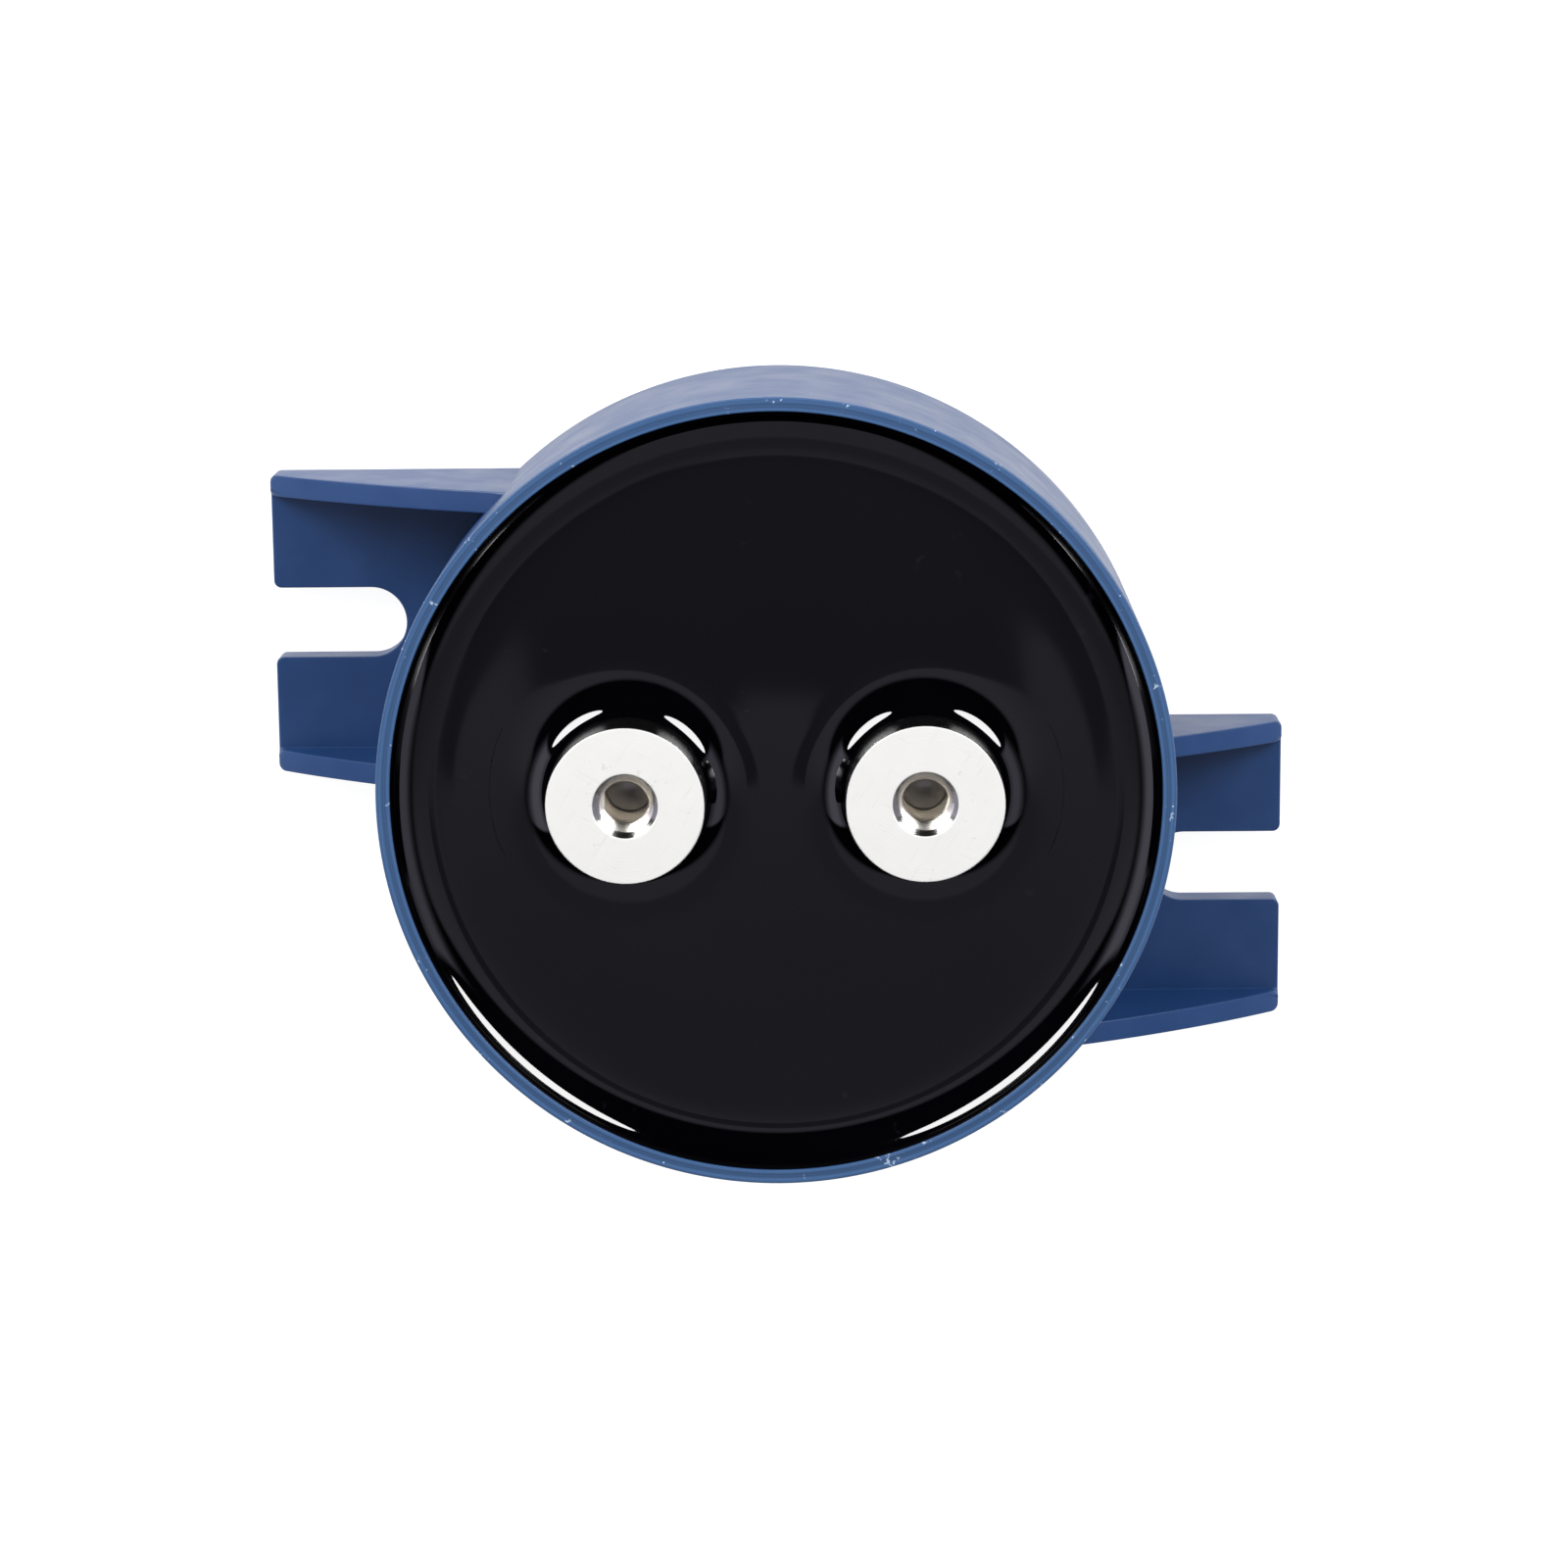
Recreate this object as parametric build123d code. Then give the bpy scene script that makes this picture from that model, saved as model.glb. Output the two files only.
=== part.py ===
from build123d import *
import math
import os

# Round film capacitor for a DC bus: a winding of metallised film, potted in a
# moulded cup with two slotted mounting ears, with two turned terminals that
# hold a female thread. All sizes are millimetres.
#
# Frame: the part lies on its mounting face, z = 0. +Z runs out of the
# terminals, the origin is where the cup's axis meets the mounting face, and
# the two terminals stand on the X axis.

# Cup: one moulding with its ears.
cup_diameter = 84.5
cup_height = 34.0
cup_wall = 1.5
cup_floor = 2.5
rim_outer_round = 0.4
rim_inner_round = 0.25
cup_foot_round = 0.5

# Mounting ears: a plate at the mounting face with a slot open to the outside,
# and a rib along each long edge that rises from the tip to the cup's wall.
ear_reach = 56.2            # cup axis to the ear's outer edge
ear_offset = 14.25          # cup axis to the slot's centre line, along Y
ear_width = 33.4
ear_plate = 3.9
ear_corner_round = 0.8
slot_width = 7.8
slot_seat_reach = 45.4      # cup axis to the centre of the slot's round end
rib_thickness = 2.4
rib_tip_height = 4.5
rib_root_height = 21.5
rib_bulge = 1.2             # how far the rib's edge bows above a straight line

# Terminals: turned posts with a blind threaded hole, M6.
terminal_pitch = 31.4
terminal_diameter = 16.75
terminal_proud = 4.2        # above the cup's rim
terminal_edge_chamfer = 0.25
thread_minor_diameter = 5.0
thread_mouth_diameter = 6.9
thread_depth = 10.5
drill_point_angle = 118.0
drill_tip_radius = 0.2
anchor_groove_depth = 1.2
anchor_groove_width = 1.6
anchor_groove_rise = 1.0    # above the terminal's lower face

# Potting resin, level below the rim, with a meniscus where it wets a wall.
resin_below_rim = 3.7
resin_meniscus = 1.8
resin_meniscus_sag = 0.37   # how far its concave face lies behind a straight bevel

# Winding stack, from the cup's floor upwards.
winding_diameter = 75.0
winding_width = 16.0        # width of the film between the two sprayed ends
wrap_thickness = 0.4
core_outer_diameter = 14.0
core_wall = 1.5
spray_thickness = 0.6
floor_disc_thickness = 0.8
floor_disc_diameter = 78.0
cover_disc_thickness = 0.4
strip_thickness = 0.5
strip_width = 8.0
strip_bend_radius = 0.8     # at the middle of the strip's thickness
strip_end_reach = 33.0      # cup axis to the free end of each copper strip
strip_tab_margin = 0.5      # the round tab stands out this far round a terminal
solder_bottom_thickness = 0.6
solder_terminal_thickness = 0.3
solder_pad_length = 5.0
solder_pad_width = 6.0
solder_pad_reaches = (27.5, 19.5)   # cup axis to the middle of each floor pad
solder_top_lap = 2.0                # cover strip past the cover pad
window_clearance = 1.5              # round a pad that goes through the cover disc

# Heights and radii that follow from the sizes above.
cup_radius = cup_diameter / 2
cavity_radius = cup_radius - cup_wall
resin_level = cup_height - resin_below_rim
floor_disc_top = cup_floor + floor_disc_thickness
floor_strip_top = floor_disc_top + strip_thickness
stack_bottom = floor_strip_top + solder_bottom_thickness
winding_bottom = stack_bottom + spray_thickness
winding_top = winding_bottom + winding_width
stack_top = winding_top + spray_thickness
cover_disc_top = stack_top + cover_disc_thickness
cover_strip_top = cover_disc_top + strip_thickness
terminal_bottom = cover_strip_top + solder_terminal_thickness
terminal_top = cup_height + terminal_proud
terminal_radius = terminal_diameter / 2
core_inner_diameter = core_outer_diameter - 2 * core_wall
ear_far_edge = ear_offset + ear_width / 2
rib_root_reach = math.sqrt(cup_radius**2 - ear_far_edge**2)
solder_top_reach = strip_end_reach - solder_top_lap - solder_pad_length / 2


def nearest(shapes, x, y, z):
    """The vertex or edge whose centre lies nearest to a point."""
    return min(shapes, key=lambda shape: (shape.center() - Vector(x, y, z)).length)


def rounded(face, corner, radius):
    """Round the face's vertex that lies nearest to a corner point."""
    return fillet(nearest(face.vertices(), *corner), radius)


def on_xz(points):
    """A face in the XZ plane from (radius, height) points."""
    return make_face(Polyline(*[(r, 0, z) for r, z in points], close=True))


def tube(outer_diameter, inner_diameter, bottom, top):
    """An upright tube on the cup's axis, or a disc where the bore is zero."""
    section = Circle(outer_diameter / 2)
    if inner_diameter > 0:
        section -= Circle(inner_diameter / 2)
    return Pos(0, 0, bottom) * extrude(section, top - bottom)


def block(centre_x, centre_y, length, width, bottom, top):
    """An upright rectangular block."""
    return Pos(centre_x, centre_y, (bottom + top) / 2) * Box(length, width, top - bottom)


def cup_shell():
    """The cup without its ears: floor, wall, and a rim with rounded edges."""
    foot = (cup_radius, 0)
    rim_outer = (cup_radius, cup_height)
    rim_inner = (cavity_radius, cup_height)
    face = on_xz([(0, 0), foot, rim_outer, rim_inner, (cavity_radius, cup_floor), (0, cup_floor)])
    rounds = {foot: cup_foot_round, rim_outer: rim_outer_round, rim_inner: rim_inner_round}
    for (r, z), radius in rounds.items():
        face = rounded(face, (r, 0, z), radius)
    return revolve(face, Axis.Z)


def ear_outline():
    """The ear from above, on the +X side, from the cup's axis to its outer edge."""
    blank = Pos(ear_reach / 2, -ear_offset) * Rectangle(ear_reach, ear_width)
    mouth_length = ear_reach - slot_seat_reach
    seat = Pos(slot_seat_reach, -ear_offset) * Circle(slot_width / 2)
    mouth = Pos(slot_seat_reach + mouth_length / 2, -ear_offset) * Rectangle(mouth_length, slot_width)
    outline = blank - seat - mouth
    for half in (ear_width / 2, slot_width / 2):
        for side in (1, -1):
            outline = rounded(outline, (ear_reach, side * half - ear_offset, 0), ear_corner_round)
    return outline


def rib_profile():
    """The rib from the side: high where it meets the cup, low at the ear's tip."""
    tip = Vector(ear_reach, 0, rib_tip_height)
    root = Vector(rib_root_reach, 0, rib_root_height)
    across = (root - tip).rotate(Axis.Y, 90).normalized()
    crown = (tip + root) * 0.5 + across * rib_bulge
    buried = Vector(rib_root_reach - cup_wall, 0, rib_root_height)
    lines = [
        Line((ear_reach, 0, 0), tip),
        ThreePointArc(tip, crown, root),
        Line(root, buried),
        Line(buried, (buried.X, 0, 0)),
        Line((buried.X, 0, 0), (ear_reach, 0, 0)),
    ]
    return make_face(lines)


def ear():
    """One ear on the +X side: slotted plate and two ribs, reaching into the cup."""
    body = extrude(ear_outline(), ear_plate)
    envelope = block(ear_reach / 2, -ear_offset, ear_reach, ear_width, 0, rib_root_height)
    for side in (1, -1):
        edge = side * ear_width / 2 - ear_offset
        corner = nearest(envelope.edges().filter_by(Axis.Z), ear_reach, edge, rib_root_height / 2)
        envelope = fillet(corner, ear_corner_round)
    for side in (1, -1):
        middle = side * (ear_width - rib_thickness) / 2 - ear_offset
        rib = Pos(0, middle, 0) * extrude(rib_profile(), rib_thickness / 2, both=True, dir=(0, 1, 0))
        body += rib & envelope
    return body


def case():
    """The moulded cup with both ears, the second turned half a turn."""
    cavity = tube(2 * cavity_radius, 0, cup_floor, cup_height)
    ears = [Rot(0, 0, turn) * ear() for turn in (0, 180)]
    return cup_shell() + [one - cavity for one in ears]


def terminal_post():
    """A turned post, without its hole, that is grooved so that the resin holds it."""
    groove_bottom = terminal_bottom + anchor_groove_rise
    groove_top = groove_bottom + anchor_groove_width
    groove_radius = terminal_radius - anchor_groove_depth
    face = on_xz([
        (0, terminal_bottom),
        (terminal_radius, terminal_bottom),
        (terminal_radius, groove_bottom),
        (groove_radius, groove_bottom),
        (groove_radius, groove_top),
        (terminal_radius, groove_top),
        (terminal_radius, terminal_top - terminal_edge_chamfer),
        (terminal_radius - terminal_edge_chamfer, terminal_top),
        (0, terminal_top),
    ])
    return revolve(face, Axis.Z)


def terminal_hole():
    """The blind hole at thread minor diameter, with its mouth and drill point."""
    bore = thread_minor_diameter / 2
    mouth = thread_mouth_diameter / 2
    bore_bottom = terminal_top - thread_depth
    point = (bore - drill_tip_radius) / math.tan(math.radians(drill_point_angle / 2))
    face = on_xz([
        (0, bore_bottom - point),
        (drill_tip_radius, bore_bottom - point),
        (bore, bore_bottom),
        (bore, terminal_top - (mouth - bore)),
        (mouth, terminal_top),
        (0, terminal_top),
    ])
    return revolve(face, Axis.Z)


def pads(places, bottom, top):
    """Solder pads, each (x, y) the middle of one, as separate solids."""
    return [block(x, y, solder_pad_length, solder_pad_width, bottom, top) for x, y in places]


def terminal_tab(side):
    """The round end of a copper strip, under the terminal on that side."""
    radius = terminal_radius + strip_tab_margin
    return Pos(side * terminal_pitch / 2, 0, cover_disc_top) * extrude(Circle(radius), strip_thickness)


def cover_strip():
    """Copper strip from the upper sprayed end to the terminal on the +X side."""
    inner = terminal_pitch / 2
    middle = (inner + strip_end_reach) / 2
    run = block(middle, 0, strip_end_reach - inner, strip_width, cover_disc_top, cover_strip_top)
    return run + terminal_tab(1)


def floor_strip():
    """Copper strip from the lower sprayed end, up the core, to the -X terminal."""
    low = floor_disc_top + strip_thickness / 2
    high = cover_disc_top + strip_thickness / 2
    route = FilletPolyline(
        (-strip_end_reach, 0, low), (0, 0, low), (0, 0, high), (-terminal_pitch / 2, 0, high),
        radius=strip_bend_radius,
    )
    start = Plane(origin=route @ 0, z_dir=route % 0, x_dir=(0, 1, 0))
    section = start * Rectangle(strip_width, strip_thickness)
    return sweep(section, path=route) + terminal_tab(-1)


def cover_disc(pad_places):
    """Insulating disc on the winding, open at the core and round the cover pads."""
    disc = tube(winding_diameter, core_inner_diameter, stack_top, cover_disc_top)
    for x, y in pad_places:
        length = solder_pad_length + 2 * window_clearance
        width = solder_pad_width + 2 * window_clearance
        disc -= block(x, y, length, width, stack_top, cover_disc_top)
    return disc


def meniscus(radius, outward):
    """Ring of resin with a concave face, climbing a wall at the given radius."""
    top = Vector(radius, 0, resin_level + resin_meniscus)
    corner = Vector(radius, 0, resin_level)
    foot = Vector(radius + outward * resin_meniscus, 0, resin_level)
    middle = (top + foot) * 0.5
    sunk = middle + (corner - middle).normalized() * resin_meniscus_sag
    face = make_face([ThreePointArc(top, sunk, foot), Line(foot, corner), Line(corner, top)])
    return revolve(face, Axis.Z)


def resin(embedded):
    """Resin fills the cup up to its level, round everything that it embeds."""
    body = tube(2 * cavity_radius, 0, cup_floor, resin_level) - embedded
    body += meniscus(cavity_radius, -1)
    for side in (1, -1):
        body += Pos(side * terminal_pitch / 2, 0, 0) * meniscus(terminal_radius, 1)
    return body


def build():
    """Every piece by its name, in place."""
    posts = {side: Pos(side * terminal_pitch / 2, 0, 0) * terminal_post() for side in (-1, 1)}
    holes = {side: Pos(side * terminal_pitch / 2, 0, 0) * terminal_hole() for side in (-1, 1)}
    floor_pad_places = [(-reach, 0) for reach in solder_pad_reaches]
    cover_pad_places = [(solder_top_reach, 0)]
    wrap_diameter = winding_diameter + 2 * wrap_thickness
    inner = {
        "winding_core": tube(core_outer_diameter, core_inner_diameter, stack_bottom, stack_top),
        "film_winding": tube(winding_diameter, core_outer_diameter, winding_bottom, winding_top),
        "winding_wrap": tube(wrap_diameter, winding_diameter, stack_bottom, stack_top),
        "end_spray_bottom": tube(winding_diameter, core_outer_diameter, stack_bottom, winding_bottom),
        "end_spray_top": tube(winding_diameter, core_outer_diameter, winding_top, stack_top),
        "insulating_disc_bottom": tube(floor_disc_diameter, 0, cup_floor, floor_disc_top),
        "insulating_disc_top": cover_disc(cover_pad_places),
        "lead_strip_bottom": floor_strip(),
        "lead_strip_top": cover_strip(),
        "solder_bottom": pads(floor_pad_places, floor_strip_top, stack_bottom),
        "solder_top": pads(cover_pad_places, stack_top, cover_disc_top),
        "solder_terminals": [
            Pos(side * terminal_pitch / 2, 0, cover_strip_top)
            * extrude(Circle(terminal_radius), solder_terminal_thickness)
            for side in (-1, 1)
        ],
    }
    embedded = list(posts.values())
    for piece in inner.values():
        embedded += piece if isinstance(piece, list) else [piece]
    return inner | {
        "case": case(),
        "potting_resin": resin(embedded),
        "terminal_left": posts[-1] - holes[-1],
        "terminal_right": posts[1] - holes[1],
    }


os.makedirs("parts", exist_ok=True)
for name, piece in build().items():
    shape = Compound(children=piece) if isinstance(piece, list) else piece
    export_step(shape, f"parts/{name}.step")
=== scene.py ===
"""Looks of a round potted film capacitor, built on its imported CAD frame.

All lengths are metres in the CAD frame. The part lies on its mounting face,
z = 0, its cup stands on the Z axis and its two terminals stand on the X axis.
"""

import logging
import math
from dataclasses import dataclass
from enum import Enum
from typing import Callable, Sequence

import bmesh
import bpy
from mathutils import Matrix, Vector


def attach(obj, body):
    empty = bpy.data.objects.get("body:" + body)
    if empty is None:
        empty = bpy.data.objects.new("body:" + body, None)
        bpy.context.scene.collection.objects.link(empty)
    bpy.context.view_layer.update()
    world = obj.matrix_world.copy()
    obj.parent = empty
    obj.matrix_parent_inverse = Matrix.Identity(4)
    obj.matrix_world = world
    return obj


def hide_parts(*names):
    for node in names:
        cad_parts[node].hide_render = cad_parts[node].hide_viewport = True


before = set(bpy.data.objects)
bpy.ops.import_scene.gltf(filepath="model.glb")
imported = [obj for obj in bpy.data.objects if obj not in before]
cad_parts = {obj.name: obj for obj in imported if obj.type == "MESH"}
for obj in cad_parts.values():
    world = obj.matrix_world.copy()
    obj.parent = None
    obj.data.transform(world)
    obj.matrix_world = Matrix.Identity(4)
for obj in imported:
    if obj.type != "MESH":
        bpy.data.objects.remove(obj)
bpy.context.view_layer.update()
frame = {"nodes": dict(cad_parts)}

MM = 0.001
BODY = "root"
WELD_DISTANCE = 1e-6
MERGE_DISTANCE = 0.01 * MM
FULL_TURN = 2 * math.pi

log = logging.getLogger("film_capacitor")

Piece = bpy.types.Object
Material = bpy.types.Material
Socket = bpy.types.NodeSocket
Mesh = bmesh.types.BMesh
Edge = bmesh.types.BMEdge
Vert = bmesh.types.BMVert
Point = tuple[float, float]
Colour = tuple[float, float, float]
Band = tuple[float, float, float]  # low, high and the softness of both edges
Ramp = tuple[float, float, float, float]  # low, high and the results at both


# ---------------------------------------------------------------- geometry


def arc(centre: Point, radius: float, start: float, end: float, steps: int) -> list[Point]:
    """Points along an arc in the (radius, height) plane.

    Args:
        centre: Centre of the arc.
        radius: Radius of the arc.
        start: First angle, in degrees from the outward direction.
        end: Last angle, in degrees.
        steps: Number of chords.

    Returns:
        The points, both ends included.
    """
    angles = (math.radians(start + (end - start) * i / steps) for i in range(steps + 1))
    return [(centre[0] + radius * math.cos(a), centre[1] + radius * math.sin(a)) for a in angles]


def spin(
    mesh: Mesh,
    geom: Sequence[Vert | Edge],
    centre: Sequence[float],
    angle: float,
    steps: int,
    axis: tuple[float, float, float] = (0.0, 0.0, 1.0),
    rise: float = 0.0,
    merge: bool = False,
) -> None:
    """Spin vertices and edges round an axis.

    Args:
        mesh: The bmesh that holds them.
        geom: The vertices and edges.
        centre: A point on the axis.
        angle: The whole turn.
        steps: Number of steps in the turn.
        axis: Direction of the axis.
        rise: Climb along Z in each step.
        merge: Whether the end of a full turn is joined to its start.
    """
    bmesh.ops.spin(
        mesh,
        geom=geom,
        cent=centre,
        axis=axis,
        dvec=(0.0, 0.0, rise),
        angle=angle,
        steps=steps,
        use_merge=merge,
        use_duplicate=False,
    )


def spin_profile(
    mesh: Mesh,
    profile: Sequence[Point],
    segments: int,
    centre_x: float = 0.0,
) -> None:
    """Spin an open (radius, height) profile a full turn round an upright axis.

    Args:
        mesh: The bmesh that gets the surface.
        profile: Points from one end to the other.
        segments: Number of steps in the turn.
        centre_x: Where the axis stands on the X axis.
    """
    verts = [mesh.verts.new((centre_x + r, 0.0, z)) for r, z in profile]
    edges = [mesh.edges.new(pair) for pair in zip(verts, verts[1:])]
    spin(mesh, verts + edges, (centre_x, 0.0, 0.0), FULL_TURN, segments, merge=True)


def fill_outline(mesh: Mesh, outline: Sequence[Vert]) -> list[bmesh.types.BMFace]:
    """Join vertices in order into a closed loop and fill it.

    Args:
        mesh: The bmesh that holds the vertices, and some of the edges between them.
        outline: The vertices, once round the loop.

    Returns:
        The new face, in a list.
    """
    following = [*outline[1:], outline[0]]
    for first, second in zip(outline, following):
        if not any(edge.other_vert(first) is second for edge in first.link_edges):
            mesh.edges.new((first, second))
    return bmesh.ops.contextual_create(mesh, geom=list(mesh.edges))["faces"]


def extrude(mesh: Mesh, faces: list[bmesh.types.BMFace], step: Vector) -> None:
    """Extrude a flat face along a vector into a closed solid."""
    raised = bmesh.ops.extrude_face_region(mesh, geom=faces, use_keep_orig=True)
    verts = [item for item in raised["geom"] if isinstance(item, Vert)]
    bmesh.ops.translate(mesh, verts=verts, vec=step)
    bmesh.ops.recalc_face_normals(mesh, faces=mesh.faces)


def round_edges(mesh: Mesh, edges: list[Edge], radius: float, segments: int) -> None:
    """Round edges off to a radius, in a number of flats."""
    bmesh.ops.bevel(
        mesh,
        geom=edges,
        affect="EDGES",
        offset=radius,
        segments=segments,
        profile=0.5,
        material=-1,
    )


def weld(mesh: Mesh) -> None:
    """Merge doubled vertices and turn every face outwards."""
    bmesh.ops.remove_doubles(mesh, verts=mesh.verts, dist=WELD_DISTANCE)
    bmesh.ops.recalc_face_normals(mesh, faces=mesh.faces)


def to_object(mesh: Mesh, name: str) -> Piece:
    """Turn a bmesh into an object at the origin, and free the bmesh."""
    data = bpy.data.meshes.new(name)
    mesh.to_mesh(data)
    mesh.free()
    obj = bpy.data.objects.new(name, data)
    bpy.context.scene.collection.objects.link(obj)
    return obj


def combine(base: Piece, tools: Sequence[tuple[Piece, str]]) -> Piece:
    """Join or cut a closed shape with others, and keep the result as a plain mesh.

    Args:
        base: The object that is changed.
        tools: Pairs of another object and the operation, UNION or DIFFERENCE.

    Returns:
        The base object. The other objects are removed.
    """
    for tool, operation in tools:
        step = base.modifiers.new(operation.title(), "BOOLEAN")
        step.object = tool
        step.operation = operation
        step.solver = "MANIFOLD"
    bake_modifiers(base)
    for tool, _ in tools:
        bpy.data.objects.remove(tool)
    return base


def bake_modifiers(obj: Piece) -> None:
    """Replace an object's mesh by what its modifiers make of it."""
    bpy.context.view_layer.update()
    graph = bpy.context.evaluated_depsgraph_get()
    data = bpy.data.meshes.new_from_object(obj.evaluated_get(graph))
    obj.modifiers.clear()
    obj.data = data


def clean(obj: Piece) -> None:
    """Merge stray vertices and split the broad faces cleanly."""
    mesh = bmesh.new()
    mesh.from_mesh(obj.data)
    bmesh.ops.remove_doubles(mesh, verts=mesh.verts, dist=MERGE_DISTANCE)
    bmesh.ops.dissolve_degenerate(mesh, edges=mesh.edges, dist=MERGE_DISTANCE)
    broad = [face for face in mesh.faces if len(face.verts) > 4]
    bmesh.ops.triangulate(mesh, faces=broad, quad_method="BEAUTY", ngon_method="BEAUTY")
    mesh.to_mesh(obj.data)
    mesh.free()


def shade(obj: Piece, sharp_degrees: float) -> None:
    """Shade smooth with sharp edges, with broad faces kept flat up to their rounds."""
    obj.data.shade_smooth()
    obj.data.set_sharp_from_angle(angle=math.radians(sharp_degrees))
    weighted = obj.modifiers.new("Flat faces", "WEIGHTED_NORMAL")
    weighted.keep_sharp = True
    bake_modifiers(obj)


def finish_piece(obj: Piece, material: Material, slot: str, nodes: Sequence[str]) -> None:
    """Dress a piece, put it on its body and hide the CAD nodes that it stands for.

    Args:
        obj: The piece.
        material: Its material.
        slot: Name of a material slot, only written to the log.
        nodes: CAD nodes that it stands for.
    """
    obj.data.materials.clear()
    obj.data.materials.append(material)
    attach(obj, BODY)
    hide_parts(*nodes)
    log.info("%s: %d faces, slot %s", obj.name, len(obj.data.polygons), slot)


# ------------------------------------------------------------ shader nodes


class Graph:
    """Short calls for the nodes that the materials are made of."""

    def __init__(self, tree: bpy.types.NodeTree) -> None:
        """Work on one node tree."""
        self.tree = tree

    def add(self, kind: str, **settings: object) -> bpy.types.Node:
        """Add a node of a kind and set its properties."""
        node = self.tree.nodes.new(kind)
        for key, value in settings.items():
            setattr(node, key, value)
        return node

    def feed(self, socket: Socket, value: object) -> None:
        """Link a socket to another one, or set its value."""
        if isinstance(value, Socket):
            self.tree.links.new(value, socket)
        else:
            socket.default_value = value

    def math(self, operation: str, *values: object) -> Socket:
        """A Math node on up to three values."""
        node = self.add("ShaderNodeMath", operation=operation)
        for socket, value in zip(node.inputs, values):
            self.feed(socket, value)
        return node.outputs[0]

    def times(self, first: object, *others: object) -> object:
        """The product of all values."""
        for other in others:
            first = self.math("MULTIPLY", first, other)
        return first

    def plus(self, first: object, *others: object) -> object:
        """The sum of all values."""
        for other in others:
            first = self.math("ADD", first, other)
        return first

    def between(self, factor: object, start: float, end: float) -> Socket:
        """A number that goes from start to end as the factor goes from 0 to 1."""
        return self.math("MULTIPLY_ADD", factor, end - start, start)

    def squared(self, value: object) -> Socket:
        """The square of a value of either sign."""
        return self.math("POWER", self.math("ABSOLUTE", value), 2.0)

    def vector(self, operation: str, *values: object) -> Socket:
        """A Vector Math node, with its vector output."""
        node = self.add("ShaderNodeVectorMath", operation=operation)
        for socket, value in zip(node.inputs, values):
            self.feed(socket, value)
        return node.outputs[0]

    def length(self, value: object) -> Socket:
        """The length of a vector."""
        node = self.add("ShaderNodeVectorMath", operation="LENGTH")
        self.feed(node.inputs[0], value)
        return node.outputs["Value"]

    def ramp(
        self, value: object, low: float, high: float, start: float = 0.0, end: float = 1.0
    ) -> Socket:
        """A smooth step from start to end as the value goes from low to high."""
        node = self.add("ShaderNodeMapRange", interpolation_type="SMOOTHSTEP")
        for name, number in (
            ("Value", value),
            ("From Min", low),
            ("From Max", high),
            ("To Min", start),
            ("To Max", end),
        ):
            self.feed(node.inputs[name], number)
        return node.outputs[0]

    def fall(self, value: object, low: float, high: float) -> Socket:
        """A smooth step from 1 down to 0 as the value goes from low to high."""
        return self.ramp(value, low, high, 1.0, 0.0)

    def band(self, value: object, low: float, high: float, soft: float) -> Socket:
        """1 between low and high, 0 outside, with soft edges."""
        rising = self.ramp(value, low - soft, low + soft)
        return self.times(rising, self.fall(value, high - soft, high + soft))

    def mix(self, factor: object, first: object, second: object) -> Socket:
        """A colour mix."""
        node = self.add("ShaderNodeMix", data_type="RGBA")
        self.feed(node.inputs[0], factor)
        for socket, value in ((node.inputs[6], first), (node.inputs[7], second)):
            self.feed(socket, (*value, 1.0) if isinstance(value, tuple) else value)
        return node.outputs[2]

    def noise(
        self, place: object, scale: float, detail: float = 2.0, roughness: float = 0.5
    ) -> Socket:
        """The value of a noise texture."""
        node = self.add("ShaderNodeTexNoise")
        self.feed(node.inputs["Vector"], place)
        self.feed(node.inputs["Scale"], scale)
        self.feed(node.inputs["Detail"], detail)
        self.feed(node.inputs["Roughness"], roughness)
        return node.outputs[0]

    def stretched(self, place: object, factors: Colour) -> Socket:
        """A place with each axis scaled by its own factor."""
        return self.vector("MULTIPLY", place, factors)

    def split(self, place: object) -> tuple[Socket, ...]:
        """The three parts of a vector."""
        node = self.add("ShaderNodeSeparateXYZ")
        self.feed(node.inputs[0], place)
        return tuple(node.outputs)

    def place(self) -> Socket:
        """Object coordinates."""
        return self.add("ShaderNodeTexCoord").outputs["Object"]

    def bump(self, height: object, distance: float) -> Socket:
        """A normal from a height that is 1 at the given distance."""
        node = self.add("ShaderNodeBump")
        self.feed(node.inputs["Height"], height)
        self.feed(node.inputs["Distance"], distance)
        self.feed(node.inputs["Strength"], 1.0)
        return node.outputs[0]


class Kit(Enum):
    """The shader groups that more than one material uses."""

    GRAIN = "Moulded grain"
    RINGS = "Turned rings"
    SCRATCHES = "Fine scratches"
    SPECKS = "Worn specks"


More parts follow.
